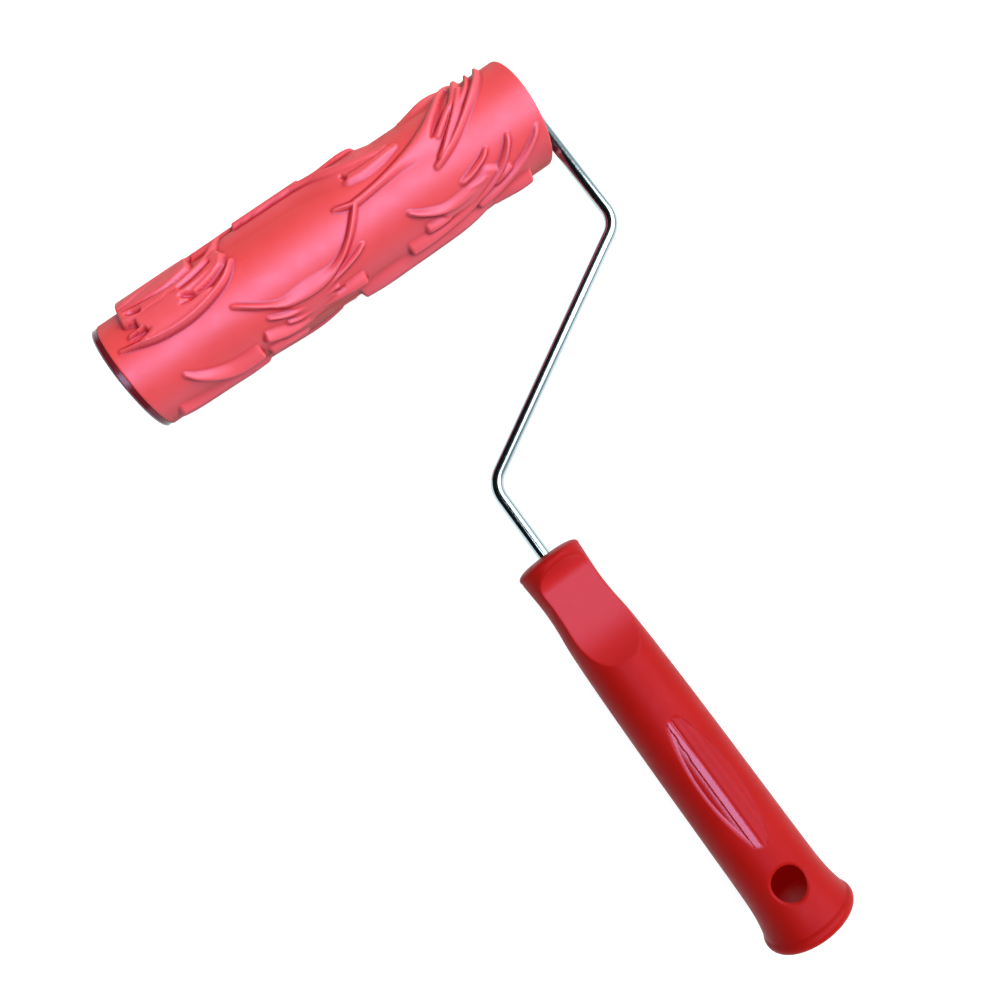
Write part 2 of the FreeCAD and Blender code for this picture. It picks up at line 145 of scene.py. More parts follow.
# Everything on the barrel is laid out as (mm along the roller from its middle, degrees
# round it). 90 degrees is the top as the tool lies, 180 degrees faces the grip.
#
# A stroke follows its crest, from left to right. Each point adds the width of the slope
# on the side of the smaller angle, the width of the slope on the other side, and the
# height, in mm. flat is half the width of the crest, and blunt names the ends cut square.
STROKES = [
    # left swirl: its long lower edge, then the fingers above it
    dict(flat=0.25, line=[
        (-84.8, 88.4, 0.5, 0.8, 0.9), (-82, 90, 0.6, 1.0, 1.7), (-79, 92, 0.8, 1.2, 2.3),
        (-75, 94.8, 1.2, 1.5, 2.8), (-70, 97.2, 2.0, 1.7, 3.0), (-62, 98.6, 3.0, 1.7, 3.1),
        (-55, 97.4, 3.0, 1.7, 3.1), (-48, 93.8, 3.0, 1.6, 3.0), (-42, 88.6, 2.6, 1.5, 2.8),
        (-38, 82, 2.0, 1.3, 2.4), (-35.2, 73, 1.0, 1.0, 1.5)]),
    dict(flat=0.35, line=[
        (-79.2, 82.2, 0.5, 0.8, 1.6), (-76, 82.4, 0.6, 0.8, 2.3), (-72, 82.6, 1.0, 1.0, 2.7),
        (-66, 82, 2.0, 2.0, 2.7)]),
    dict(flat=0.35, line=[
        (-78.6, 69.4, 1.0, 0.6, 2.0), (-76, 71, 1.2, 0.6, 2.5), (-72, 72, 1.6, 0.9, 2.7),
        (-66, 72, 2.0, 2.0, 2.7)]),
    dict(flat=0.5, line=[
        (-60, 75, 2.0, 1.2, 2.7), (-54, 76, 2.2, 0.9, 2.8), (-49, 74.6, 2.0, 0.8, 2.6),
        (-44, 71.4, 1.6, 0.8, 2.3), (-39.6, 67, 1.2, 0.8, 1.6), (-36.4, 62, 0.8, 0.7, 0.8)]),
    dict(flat=0.6, line=[
        (-66, 67, 1.6, 2.4, 2.8), (-58, 67.4, 1.6, 1.6, 2.9), (-50, 64, 1.4, 1.4, 2.8),
        (-44, 58.6, 1.2, 1.6, 2.6), (-40, 51, 1.0, 1.8, 2.4), (-37.6, 42, 1.0, 1.8, 2.4),
        (-36, 32, 1.0, 1.6, 2.6), (-34, 22, 1.0, 1.6, 2.4)]),
    # leaf edge across the middle, then its spur
    dict(flat=0.3, line=[
        (-44.2, 111.6, 0.7, 0.7, 0.9), (-42, 115.2, 0.9, 0.8, 1.4), (-39.6, 119.4, 1.0, 0.9, 1.7),
        (-36.6, 124.6, 1.1, 0.9, 1.8), (-33.6, 129.4, 1.3, 0.9, 1.8),
        (-30.6, 134.4, 2.2, 1.0, 1.8),
        (-27, 138.6, 3.8, 1.2, 1.8), (-20, 141.6, 5.6, 1.3, 1.8), (-14, 141.4, 5.4, 1.3, 1.8),
        (-9, 138.6, 3.8, 1.2, 1.8), (-5, 134.2, 2.2, 1.1, 1.8), (-1, 128.4, 1.3, 1.1, 1.9),
        (3, 120.8, 1.0, 1.2, 1.9), (6, 114.2, 1.0, 1.3, 1.9), (9, 106.6, 1.0, 1.4, 1.9),
        (11, 101, 0.9, 1.4, 1.9), (12.8, 96.4, 0.9, 1.4, 1.9)]),
    dict(flat=0.3, line=[
        (5.2, 90.4, 0.6, 0.9, 1.0), (8, 92.8, 0.7, 1.3, 1.6), (11, 95.2, 0.8, 1.4, 1.9),
        (13.4, 96.2, 0.9, 1.4, 1.9)]),
    # stroke that climbs from the leaf edge to the right
    dict(flat=0.7, line=[
        (12.8, 96.2, 0.8, 1.2, 1.9), (17, 95.4, 0.8, 1.2, 1.8), (21, 94.2, 0.8, 1.3, 1.8),
        (25, 92.8, 0.9, 1.5, 1.8), (30, 90.4, 1.1, 2.2, 1.8), (35, 87.6, 1.4, 3.6, 1.8),
        (40, 84.2, 1.7, 6.0, 1.9), (45, 79.6, 2.0, 8.0, 2.0), (50, 73.4, 2.2, 7.0, 2.2),
        (54, 66.4, 2.2, 3.0, 2.4), (58, 58, 2.2, 1.4, 2.4), (62, 47, 2.2, 1.4, 2.4),
        (66, 34, 2.0, 1.4, 2.2), (70, 22, 1.6, 1.2, 1.6)]),
    # fingers under the leaf edge
    dict(flat=0.4, line=[
        (-16, 148.4, 0.6, 0.5, 0.3), (-11, 145.4, 0.9, 0.8, 0.9), (-6, 142.4, 1.0, 0.8, 1.4),
        (-1, 139, 1.0, 0.8, 1.7), (3.4, 135.4, 0.9, 0.8, 1.7), (6.8, 131.2, 0.7, 0.8, 1.2)]),
    dict(flat=0.4, blunt="end", line=[
        (-17, 153.4, 0.5, 0.5, 0.3), (-12.4, 153, 0.8, 0.6, 0.9), (-8.4, 152.6, 0.9, 0.7, 1.3)]),
    dict(flat=0.4, blunt="end", line=[
        (-18, 164.2, 1.0, 0.8, 0.5), (-13, 164.6, 2.2, 0.9, 1.3), (-8, 164.8, 3.8, 0.9, 2.1),
        (-3, 165, 4.6, 0.9, 2.6), (1.7, 165, 4.6, 0.9, 2.7)]),
    dict(flat=0.4, line=[
        (-36, 139.6, 0.6, 0.7, 1.2), (-33.4, 143, 1.0, 0.8, 1.7), (-30.4, 146.6, 1.1, 0.8, 1.7),
        (-27, 149.6, 1.1, 0.8, 1.3), (-22, 152, 1.0, 0.7, 0.5)]),
    dict(flat=0.4, line=[
        (-30.8, 155.4, 0.7, 0.7, 1.3), (-28, 157.6, 1.0, 0.7, 1.5), (-24.4, 159.4, 1.0, 0.7, 1.1),
        (-19, 161, 0.8, 0.6, 0.4)]),
    dict(flat=0.4, blunt="start", line=[
        (-41.4, 157, 3.8, 0.9, 2.3), (-37.6, 161, 4.4, 0.9, 2.5), (-33.4, 164.6, 4.0, 0.9, 2.4),
        (-29, 167, 2.8, 0.9, 2.0), (-24.8, 167.8, 1.4, 0.8, 1.2)]),
    # crescent and the broad stroke below it, low left
    dict(flat=0.4, blunt="end", line=[
        (-72, 139, 0.9, 0.8, 1.1), (-69.8, 147, 2.4, 0.9, 1.9), (-66, 155.6, 3.8, 1.0, 2.5),
        (-61.6, 163, 5.0, 1.1, 2.9), (-57, 168.4, 6.0, 1.1, 3.0), (-51, 170.8, 6.4, 1.1, 3.0),
        (-45.4, 170, 6.2, 1.1, 2.9)]),
    dict(flat=1.2, blunt="start", line=[
        (-82.4, 176, 4.0, 3.0, 2.0), (-77, 180.6, 4.0, 4.0, 2.0), (-70, 184, 4.2, 5.0, 1.9),
        (-62, 187, 4.2, 5.0, 1.8), (-54, 190, 4.0, 4.0, 1.9), (-47, 194, 3.0, 3.0, 1.6)]),
    dict(flat=1.4, blunt="start", line=[
        (-42.4, 177, 2.6, 2.4, 2.1), (-38, 178, 2.8, 3.0, 2.1), (-34, 181, 2.4, 3.0, 1.9),
        (-29, 186, 2.0, 2.6, 1.4)]),
    dict(flat=0.6, line=[
        (-35, 168.6, 0.7, 0.8, 1.2), (-31, 169.2, 1.0, 0.9, 1.6), (-27, 170.4, 1.0, 0.9, 1.4),
        (-23, 172, 0.9, 0.8, 0.6)]),
    # leaf right of the middle
    dict(flat=1.2, line=[
        (16.4, 71.4, 0.8, 2.2, 1.5), (22, 73, 0.8, 2.6, 1.7), (28, 72.4, 0.7, 2.2, 1.7),
        (33, 70.6, 0.6, 1.4, 1.4), (36.6, 69, 0.5, 0.6, 0.8)]),
    # right-hand half of the band over the middle, which sinks towards the leaf
    dict(flat=0.8, line=[
        (-2, 36.6, 1.4, 1.4, 3.6), (5, 40.6, 1.8, 2.8, 3.3), (10, 45.6, 2.2, 4.6, 3.0),
        (15, 50.8, 2.6, 5.4, 2.5), (20, 55, 3.0, 4.6, 2.0), (26, 59, 3.0, 2.8, 1.4),
        (33, 62, 2.0, 1.2, 0.7)]),
    # lower V: its two ridges, and the strokes between them
    dict(flat=0.45, line=[
        (45, 110.8, 0.7, 0.9, 1.0), (48, 107.8, 0.9, 1.3, 1.6), (52, 103.2, 0.9, 1.6, 1.9),
        (56, 98.2, 0.9, 1.7, 2.0), (60, 92, 0.9, 1.7, 2.0), (65, 83.4, 1.2, 1.7, 2.1),
        (70, 73.6, 2.0, 1.8, 2.2), (74.5, 63, 1.4, 1.8, 2.4), (77.5, 53.6, 1.0, 1.6, 2.4),
        (79.4, 43, 0.9, 1.4, 2.2), (81, 30, 0.8, 1.2, 1.6)]),
    dict(flat=0.4, line=[
        (48, 105.6, 0.7, 1.2, 1.3), (51.4, 99.6, 0.8, 2.4, 1.9), (55, 92, 0.8, 3.0, 2.1),
        (59, 83.4, 0.8, 3.4, 2.2), (62.6, 75, 0.8, 3.4, 2.3), (66, 66, 1.0, 3.0, 2.3),
        (69, 56, 1.0, 2.4, 2.3)]),
    dict(flat=0.8, line=[
        (51.6, 87.8, 0.7, 0.8, 1.4), (54, 83.6, 1.0, 0.9, 1.9), (57, 78, 1.1, 0.9, 2.0),
        (60, 72.4, 1.1, 0.9, 2.1), (63.2, 66.8, 1.0, 1.2, 2.2), (66, 58, 1.0, 2.0, 2.3),
        (68.6, 48, 1.0, 2.0, 2.4), (70.6, 36, 1.0, 1.4, 2.2)]),
    dict(flat=0.4, line=[
        (66, 71, 1.6, 2.0, 1.6), (70, 63, 1.4, 1.6, 1.9), (73.2, 54, 0.9, 0.8, 2.2),
        (75, 44, 0.7, 0.7, 2.2), (76, 34, 0.7, 0.7, 1.6)]),
    # finger and blocks low on the right
    dict(flat=0.4, line=[
        (27.6, 131.4, 0.7, 0.8, 1.0), (29.4, 136, 1.2, 0.8, 1.7), (32, 140.6, 1.8, 0.9, 2.0),
        (35, 145, 2.4, 0.9, 2.1), (38.4, 149, 2.8, 0.9, 2.0), (42, 151.4, 3.4, 1.4, 1.8),
        (47, 152, 4.0, 3.0, 1.6), (53, 150, 3.6, 3.0, 1.4)]),
    dict(flat=0.5, blunt="start end", line=[
        (31.2, 160, 3.4, 0.8, 1.8), (36, 160.8, 3.0, 0.8, 1.9), (40.6, 160.4, 2.2, 0.8, 1.6)]),
    dict(flat=0.5, blunt="start", line=[
        (22.2, 171.6, 5.0, 1.0, 2.6), (28, 172, 5.0, 1.0, 2.7), (34, 171.6, 3.8, 1.0, 2.6),
        (40, 170.4, 3.4, 1.0, 2.4), (46, 168, 4.0, 1.0, 2.2), (53, 164, 4.0, 1.2, 1.7)]),
    dict(flat=0.4, line=[
        (51, 137.4, 1.6, 0.7, 1.1), (55, 134.6, 1.6, 0.7, 1.7), (59, 130.6, 1.5, 0.7, 1.9),
        (62, 126.6, 1.2, 0.8, 1.8), (63.8, 122.4, 0.8, 0.8, 1.1)]),
    dict(flat=0.5, blunt="end", line=[
        (52, 147, 1.8, 0.8, 1.0), (56, 146.4, 1.8, 0.8, 1.5), (60.6, 144.6, 1.6, 0.8, 1.5)]),
    dict(flat=0.45, line=[
        (52, 163.4, 2.4, 0.8, 1.7), (56, 160, 2.4, 0.8, 2.0), (60, 155.6, 2.2, 0.8, 2.2),
        (64, 149.8, 2.0, 0.9, 2.3), (67.6, 142.8, 1.8, 0.9, 2.3), (70.6, 135.2, 1.5, 0.9, 2.2),
        (72.8, 127.6, 1.1, 0.9, 1.7), (73.6, 122, 0.7, 0.8, 0.9)]),
    dict(flat=0.45, blunt="start", line=[
        (53.8, 172, 2.8, 0.9, 2.1), (60, 169, 2.8, 0.9, 2.3), (66, 164, 2.4, 0.9, 2.2),
        (72, 157.6, 2.0, 1.0, 2.1), (77, 150.6, 1.7, 1.0, 2.0), (81, 143.6, 1.4, 1.0, 1.7),
        (84, 136.4, 1.0, 0.9, 1.3), (85.2, 131, 0.6, 0.7, 0.6)]),
    dict(flat=0.6, blunt="end", line=[
        (63, 157.6, 1.4, 1.0, 1.0), (67, 154, 1.6, 0.8, 1.4), (70.2, 150.8, 1.6, 0.6, 1.3)]),
    # long strokes round the lower edge
    dict(flat=1.2, blunt="start", line=[
        (-1.2, 190, 5.0, 3.0, 2.6), (8, 189, 6.0, 4.0, 3.3), (20, 188, 5.6, 5.0, 3.3),
        (32, 187, 5.6, 5.0, 3.3), (44, 185, 5.0, 4.4, 3.2), (52, 184, 4.0, 3.0, 2.4),
        (58, 184, 2.6, 2.0, 1.2)]),
    dict(flat=1.0, blunt="end", line=[
        (62, 186, 3.0, 2.4, 1.6), (68, 183, 4.0, 3.0, 2.6), (73, 182, 4.4, 3.4, 3.1),
        (77.6, 181, 4.4, 3.4, 3.0)]),
    # far side, which makes the upper silhouette
    dict(flat=1.6, line=[
        (-58, 14, 3.0, 2.6, 1.0), (-50, 18, 3.4, 2.4, 2.8), (-43, 21, 3.4, 2.0, 2.8),
        (-36, 22, 3.4, 2.0, 2.8), (-28, 20, 3.0, 2.0, 2.9), (-20, 14, 2.6, 2.0, 2.0)]),
    dict(flat=1.8, blunt="end", line=[
        (-4, 20, 3.0, 2.0, 3.0), (4, 24, 3.2, 2.0, 2.9), (9, 26, 3.4, 2.0, 2.7),
        (14, 27, 3.4, 2.0, 3.0), (19, 28, 3.4, 1.8, 3.3), (23, 28, 3.4, 1.6, 3.1),
        (25.4, 28, 3.0, 1.6, 2.4)]),
    dict(flat=0.8, line=[
        (46, 34, 1.6, 2.6, 0.6), (52, 32, 3.0, 3.0, 1.8), (58, 26, 3.0, 3.0, 2.6),
        (66, 14, 3.0, 2.0, 2.4), (74, 0, 2.0, 1.6, 1.6), (82, -14, 1.0, 1.0, 0.5)]),
    # hidden side
    dict(flat=0.8, line=[
        (28, -20, 1.0, 1.0, 0.6), (38, -8, 2.4, 1.2, 2.2), (48, 0, 3.4, 1.4, 2.8),
        (60, 2, 3.0, 1.4, 2.6), (72, -6, 2.0, 1.2, 1.6), (80, -16, 1.0, 1.0, 0.5)]),
    dict(flat=0.8, line=[
        (-84, -2, 1.0, 1.0, 0.6), (-74, -12, 2.6, 1.4, 2.4), (-60, -18, 4.0, 1.4, 3.0),
        (-46, -22, 3.6, 1.4, 2.8), (-34, -32, 2.0, 1.2, 1.8), (-24, -44, 1.0, 1.0, 0.5)]),
    dict(flat=0.8, line=[
        (-30, -10, 1.0, 1.0, 0.6), (-18, -16, 3.0, 1.4, 2.6), (-4, -18, 4.0, 1.4, 2.9),
        (10, -14, 3.0, 1.4, 2.5), (22, -4, 1.2, 1.0, 0.8)]),
    dict(flat=0.8, line=[
        (-82, 214, 1.0, 1.0, 0.6), (-68, 224, 3.4, 1.4, 2.6), (-52, 229, 4.6, 1.5, 2.9),
        (-36, 224, 4.0, 1.4, 2.8), (-22, 212, 2.4, 1.2, 2.0), (-12, 198, 1.0, 1.0, 0.6)]),
    dict(flat=0.8, line=[
        (-62, 259, 1.0, 1.0, 0.6), (-46, 250, 3.0, 1.4, 2.6), (-28, 248, 3.8, 1.5, 2.8),
        (-10, 251, 3.2, 1.4, 2.6), (4, 258, 1.4, 1.0, 0.8)]),
    dict(flat=0.8, line=[
        (-12, 226, 1.0, 1.0, 0.6), (2, 234, 3.2, 1.4, 2.4), (20, 237, 4.6, 1.5, 2.9),
        (38, 233, 4.0, 1.4, 2.8), (54, 222, 2.6, 1.2, 2.2), (66, 208, 1.0, 1.0, 0.6)]),
    dict(flat=0.8, line=[
        (48, 292, 1.0, 1.0, 0.8), (56, 288, 2.0, 1.4, 2.3), (63, 280, 2.6, 1.5, 2.9),
        (69, 268, 2.6, 1.5, 2.9), (74, 256, 2.2, 1.4, 2.5), (78, 244, 1.0, 1.0, 0.8)]),
    dict(flat=0.8, line=[
        (-84, 250, 1.0, 1.0, 0.8), (-80, 260, 2.2, 1.4, 2.5), (-75, 270, 2.6, 1.5, 2.9),
        (-68, 281, 2.8, 1.5, 2.9), (-58, 290, 2.6, 1.4, 2.4), (-44, 295, 1.0, 1.0, 0.8)]),
    dict(flat=0.8, line=[
        (-12, 316, 1.0, 1.0, 0.6), (4, 306, 3.0, 1.4, 2.4), (22, 302, 4.4, 1.5, 2.9),
        (40, 307, 3.2, 1.4, 2.5), (56, 320, 1.2, 1.0, 0.8)]),
    dict(flat=0.5, line=[
        (-30, 240, 0.8, 0.8, 0.6), (-22, 236, 1.4, 0.9, 1.6), (-12, 228, 1.6, 0.9, 1.8),
        (-4, 216, 1.0, 0.8, 1.0)]),
    dict(flat=0.5, line=[
        (-76, 240, 1.4, 0.9, 1.4), (-66, 248, 1.4, 0.9, 1.6), (-56, 252, 0.8, 0.8, 0.6)]),
    dict(flat=0.5, line=[
        (56, 250, 0.8, 0.8, 0.8), (66, 244, 1.4, 0.9, 1.7), (76, 232, 1.2, 0.9, 1.2)]),
]

# A pad is a flat-topped patch: its height, the width of its walls and its outline.
PADS = [
    # left swirl: the block of its upper strokes, then its body
    dict(high=3.1, wall=1.0, outline=[
        (-78.6, 12), (-78.6, 68), (-75, 70.4), (-62, 71), (-55, 60.4), (-49.4, 56), (-48.8, 50),
        (-48.8, 16), (-56, 8), (-70, 6)]),
    dict(high=2.7, wall=0.9, outline=[
        (-73.8, 64), (-74.4, 79.6), (-72.4, 83), (-72.6, 90), (-77, 92.6), (-70, 96), (-58, 97),
        (-50, 94.6), (-46, 88), (-52, 85.6), (-57.4, 85), (-55, 64)]),
    # ground that the swirl's fingers grow out of
    dict(high=2.0, wall=1.5, outline=[
        (-58, 62), (-58, 84), (-50, 82.4), (-44, 78.4), (-39, 71), (-37, 62), (-38, 53),
        (-44, 59), (-50, 62)]),
    # band over the middle that runs down to the leaf
    dict(high=3.7, wall=1.2, outline=[
        (-26.8, 8), (-27.4, 34.6), (-18, 36.6), (-8, 37.6), (-1, 38.6), (2, 30), (-4, 10)]),
    # swell of the field under the band
    dict(high=1.4, wall=8.0, outline=[
        (-33, 12), (-32, 39), (-18, 41), (-4, 42), (4, 46), (10, 52), (15, 57), (24, 56),
        (24, 12)]),
    # low ground that the fingers of the middle grow out of
    dict(high=0.5, wall=3.0, outline=[
        (-26, 143), (-14, 143), (-10, 147), (-12, 168), (-24, 170), (-28, 158)]),
    # low ground between the fingers of the right-hand side
    dict(high=1.2, wall=2.4, outline=[
        (40, 150), (50, 149), (58, 145), (61, 140), (66, 147), (60, 156), (52, 160), (40, 160)]),
]

# A groove cuts down into the strokes: (mm along, degrees, half width, depth).
GROOVES = [
    [(-79.4, 53, 0.1, 0.6), (-74, 49.6, 0.3, 1.3), (-70, 46, 0.3, 1.5), (-65, 41.4, 0.3, 1.5),
     (-60, 37.6, 0.3, 1.5), (-54, 32, 0.3, 1.5), (-47, 24, 0.3, 1.5)],
    [(-77, 57.4, 0.1, 0.4), (-72, 59.6, 0.2, 0.8), (-67, 61.4, 0.2, 1.1), (-60, 62.8, 0.3, 1.5),
     (-55, 60.6, 0.3, 1.7), (-50, 57.4, 0.4, 1.8), (-46.4, 53.6, 0.5, 1.8)],
    [(-76, 62.6, 0.2, 1.0), (-74, 65, 0.7, 1.8), (-71.6, 67.4, 0.5, 1.4)],
    [(-59, 71, 0.1, 0.2), (-53, 70.2, 0.2, 0.5), (-47.6, 67.4, 0.3, 0.7), (-42, 62.8, 0.4, 0.8)],
    [(-57, 78.4, 0.1, 0.6), (-54.8, 80.6, 0.5, 1.8), (-53.4, 83.4, 0.9, 2.2)],
    [(-58, 86, 0.1, 0.5), (-53, 85.6, 0.4, 1.9), (-47, 82.4, 0.2, 1.6), (-42, 78.6, 0.2, 1.5),
     (-38, 74.6, 0.2, 1.2), (-36, 71.4, 0.2, 0.9)],
    [(-80, 85, 0.2, 1.2), (-76.8, 86.6, 0.8, 2.6), (-74, 87.6, 0.5, 1.8), (-71.4, 88.4, 0.1, 0.5)],
    [(-83.4, 87.4, 0.1, 0.6), (-79.4, 89.4, 0.1, 0.9)],
    [(14.8, 64.6, 0.2, 1.4), (15.2, 70, 0.5, 1.6)],
    [(49.4, 85.4, 0.1, 0.8), (52, 79.6, 0.4, 2.0), (55, 72.8, 0.5, 2.2), (58, 66, 0.5, 2.2),
     (60.6, 59, 0.5, 2.0), (63.4, 49, 0.5, 1.8), (66.4, 38, 0.5, 1.6)],
    [(-11, 155.4, 0.2, 0.8), (-9, 156.8, 0.4, 1.2), (-7, 156.6, 0.2, 0.8)],
]


class Barrel:
    """The relief's height over a grid of places on the unrolled barrel."""

    def __init__(self, along, degrees):
        self.along = along
        self.degrees = degrees
        self.height = np.zeros((len(along), len(degrees)))

    def window(self, points, margin):
        """The part of the grid near some (along, degrees) points, and its places."""
        points = np.array([point[:2] for point in points], float)
        lowest, highest = points.min(0), points.max(0)
        middle = (lowest[1] + highest[1]) / 2
        turned = (self.degrees - middle + 180.0) % 360.0 - 180.0 + middle
        slack = math.degrees(margin / TOP_RADIUS)
        rows = np.where((self.along > lowest[0] - margin) & (self.along < highest[0] + margin))[0]
        columns = np.where((turned > lowest[1] - slack) & (turned < highest[1] + slack))[0]
        arcs = np.radians(turned[columns]) * TOP_RADIUS
        x, arc = np.meshgrid(self.along[rows], arcs, indexing="ij")
        return np.ix_(rows, columns), x, arc


def nearest_on_line(x, arc, line, blunt=""):
    """For each place: its distance from a line of points, the side that it is on, and
    the line's own figures at the nearest point. A blunt end reaches no further on."""
    nodes = np.array(line, float)
    nodes[:, 1] = np.radians(nodes[:, 1]) * TOP_RADIUS
    curve = spline(nodes)
    away = np.full(x.shape, FAR)
    side = np.zeros(x.shape)
    past = np.zeros(x.shape)
    figures = np.zeros(x.shape + (curve.shape[1] - 2,))
    last = len(curve) - 2
    for i, (a, b) in enumerate(zip(curve, curve[1:])):
        run = b[:2] - a[:2]
        length = math.hypot(*run)
        dx, ds = x - a[0], arc - a[1]
        t = (dx * run[0] + ds * run[1]) / length**2
        held = np.clip(t, 0.0, 1.0)
        reach = np.hypot(dx - held * run[0], ds - held * run[1])
        nearer = reach < away
        away = np.where(nearer, reach, away)
        across = (dx * run[1] - ds * run[0]) / length
        side = np.where(nearer, across, side)
        over = np.zeros(x.shape)
        if i == 0 and "start" in blunt:
            over = np.maximum(-t, 0.0) * length
        if i == last and "end" in blunt:
            over = np.maximum(t - 1.0, 0.0) * length
        past = np.where(nearer, over, past)
        here = a[2:] + held[..., None] * (b[2:] - a[2:])
        figures = np.where(nearer[..., None], here, figures)
    away = np.where(past > 0, np.abs(side), away)
    return away, side, past, figures


def pad_distance(x, arc, outline):
    """Distance outside a closed outline, negative within it."""
    corners = np.array(outline, float)
    corners[:, 1] = np.radians(corners[:, 1]) * TOP_RADIUS
    away = np.full(x.shape, FAR)
    inside = np.zeros(x.shape, bool)
    for a, b in zip(corners, np.roll(corners, -1, axis=0)):
        run = b - a
        dx, ds = x - a[0], arc - a[1]
        t = np.clip((dx * run[0] + ds * run[1]) / (run @ run), 0.0, 1.0)
        away = np.minimum(away, np.hypot(dx - t * run[0], ds - t * run[1]))
        if a[1] != b[1]:
            crosses = (a[1] > arc) != (b[1] > arc)
            inside ^= crosses & (x < a[0] + (arc - a[1]) / run[1] * run[0])
    return np.where(inside, -away, away)


def slope(t):
    """A straight slope from 0 to 1 with eased ends."""
    return 0.7 * np.clip(t, 0.0, 1.0) + 0.3 * smoothstep(t)


def relief(along, degrees):
    """The relief's height in mm over the whole grid."""
    barrel = Barrel(along, degrees)
    for pad in PADS:
        place, x, arc = barrel.window(pad["outline"], pad["wall"])
        outside = pad_distance(x, arc, pad["outline"])
        rise = pad["high"] * slope(1.0 - outside / pad["wall"])
        barrel.height[place] = np.maximum(barrel.height[place], rise)
    for stroke in STROKES:
        line, flat = stroke["line"], stroke["flat"]
        widest = max(max(point[2:4]) for point in line)
        place, x, arc = barrel.window(line, widest + flat)
        away, side, past, figures = nearest_on_line(x, arc, line, stroke.get("blunt", ""))
        wall = np.where(side > 0, figures[..., 0], figures[..., 1])
        rise = (figures[..., 2] * slope(1.0 - (away - flat) / wall)
                * slope(1.0 - past / BLUNT_WALL))
        barrel.height[place] = np.maximum(barrel.height[place], rise)
    for line in GROOVES:
        place, x, arc = barrel.window(line, GROOVE_WALL + 1.0)
        away, _, _, figures = nearest_on_line(x, arc, line)
        cut = figures[..., 1] * slope(1.0 - (away - figures[..., 0]) / GROOVE_WALL)
        barrel.height[place] = np.maximum(barrel.height[place] - cut, 0.0)
    return soften(barrel.height)


def soften(height):
    """Rounds the corners of the mould by one pass of a small kernel each way."""
    rows = np.pad(height, ((1, 1), (0, 0)), mode="edge")
    height = SOFT_BESIDE * (rows[:-2] + rows[2:]) + SOFT_MIDDLE * rows[1:-1]
    beside = np.roll(height, 1, axis=1) + np.roll(height, -1, axis=1)
    return SOFT_BESIDE * beside + SOFT_MIDDLE * height


def corner(radius, steps=4):
    """A quarter round as (inset, rise) pairs, without the last, flush point."""
    turns = [math.pi / 2 * i / steps for i in range(steps)]
    return [(radius * (1 - math.cos(t)), radius * math.sin(t)) for t in turns]


def make_sleeve():
    """The rubber sleeve: relief outside, plain bore inside, rounded end edges."""
    low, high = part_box("pattern_sleeve")
    half = (high.x - low.x) / 2 / MM
    stations = np.linspace(-half + EDGE_ROUND, half - EDGE_ROUND, round(2 * half / SLEEVE_PITCH))
    ring = round(2 * math.pi * TOP_RADIUS / SLEEVE_PITCH * COLUMN_SHARE)
    degrees = np.linspace(0.0, 360.0, ring, endpoint=False)
    angle = np.radians(degrees)
    heights = relief(stations, degrees)
    edge = [(inset, BARREL_RADIUS - EDGE_ROUND + rise) for inset, rise in corner(EDGE_ROUND)]

    def row(x, radius):
        across, up = radius * np.cos(angle), radius * np.sin(angle)
        return np.stack([np.full(angle.shape, x), across, up], -1)

    rows = [row(-half, SLEEVE_BORE)]
    rows += [row(-half + inset, radius) for inset, radius in edge]
    rows += [row(x, BARREL_RADIUS + height) for x, height in zip(stations, heights)]
    rows += [row(half - inset, radius) for inset, radius in reversed(edge)]
    rows += [row(half, SLEEVE_BORE)]
    # The last ring joins the first again, which closes the bore.
    vertices, quads = ring_grid(rows + [rows[0]])
    vertices = vertices[:-ring]
    quads = quads % len(vertices)
    vertices = vertices * MM + np.array(ROLLER_CENTRE)
    faces = quads[:, ::-1].tolist()
    sleeve = new_object("sleeve_skin", vertices.tolist(), faces, ALL_SMOOTH)
    # The painted sheen makes the rubber pinker the higher it stands above the barrel.
    at = (places(sleeve) / MM) - np.array(ROLLER_CENTRE) / MM
    above = np.hypot(at[:, 1], at[:, 2]) - BARREL_RADIUS
    mark(sleeve, "raised_sheen", smoothstep(above / RAISED_SHEEN_AT))
    # Painted shade: darkens the feet of the strokes, where the softened relief stands above them.
    around = heights
    for _ in range(HOLLOW_SHADE_PASSES):
        around = soften(around)
    hollow_shade = np.zeros((len(rows), ring))
    first = 1 + len(edge)
    depth = (around - heights) / HOLLOW_SHADE_DEPTH
    hollow_shade[first:first + len(stations)] = np.clip(depth, 0.0, 1.0)
    mark(sleeve, "hollow_shade", hollow_shade.ravel())
    return sleeve


# ------------------------------------------------------------------ the hand grip
GRIP_LENGTH = 158.0
# The grip's outline down to the foot of its butt lip: (distance from the top, radius).
GRIP_STATIONS = [
    (0.0, 13.3), (7.0, 12.75), (16.0, 12.3), (24.0, 12.6), (34.0, 13.5), (52.0, 14.15),
    (77.0, 14.6), (107.0, 14.85), (134.0, 15.05), (144.0, 15.4), (150.0, 16.3), (154.0, 17.3),
]
LIP_RADIUS = 17.9
LIP_BEAD = 2.8
RECESS_DEPTH = 10.0
RECESS_MOUTH = 12.6
RECESS_FLOOR = 12.0
MOUTH_BEVEL = 0.6
FLOOR_BEVEL = 0.8
# The radius of the last ring of a floor, before its cap.
NEAR_AXIS = 0.01
SHANK_RADIUS = 2.5
SHANK_IN_GRIP = 80.0
HANG_RADIUS = 6.15
HANG_FROM_BUTT = 21.0
# The rounded top rim: its crown above the wire's hole, how far down its side starts and
# how square its round is (2 is a circle).
TOP_CROWN = 1.2
TOP_SHOULDER = 3.2
TOP_SQUARENESS = 2.6
# The thin line pressed in below the top rim.
RIM_GROOVE = 2.9
RIM_GROOVE_DEPTH = 0.14
RIM_GROOVE_WIDTH = 0.45
# The rounded mouth of the hang hole: how far it reaches out, and its depth at the hole.
HOLE_LIP = 1.0
HOLE_LIP_DEPTH = 0.7

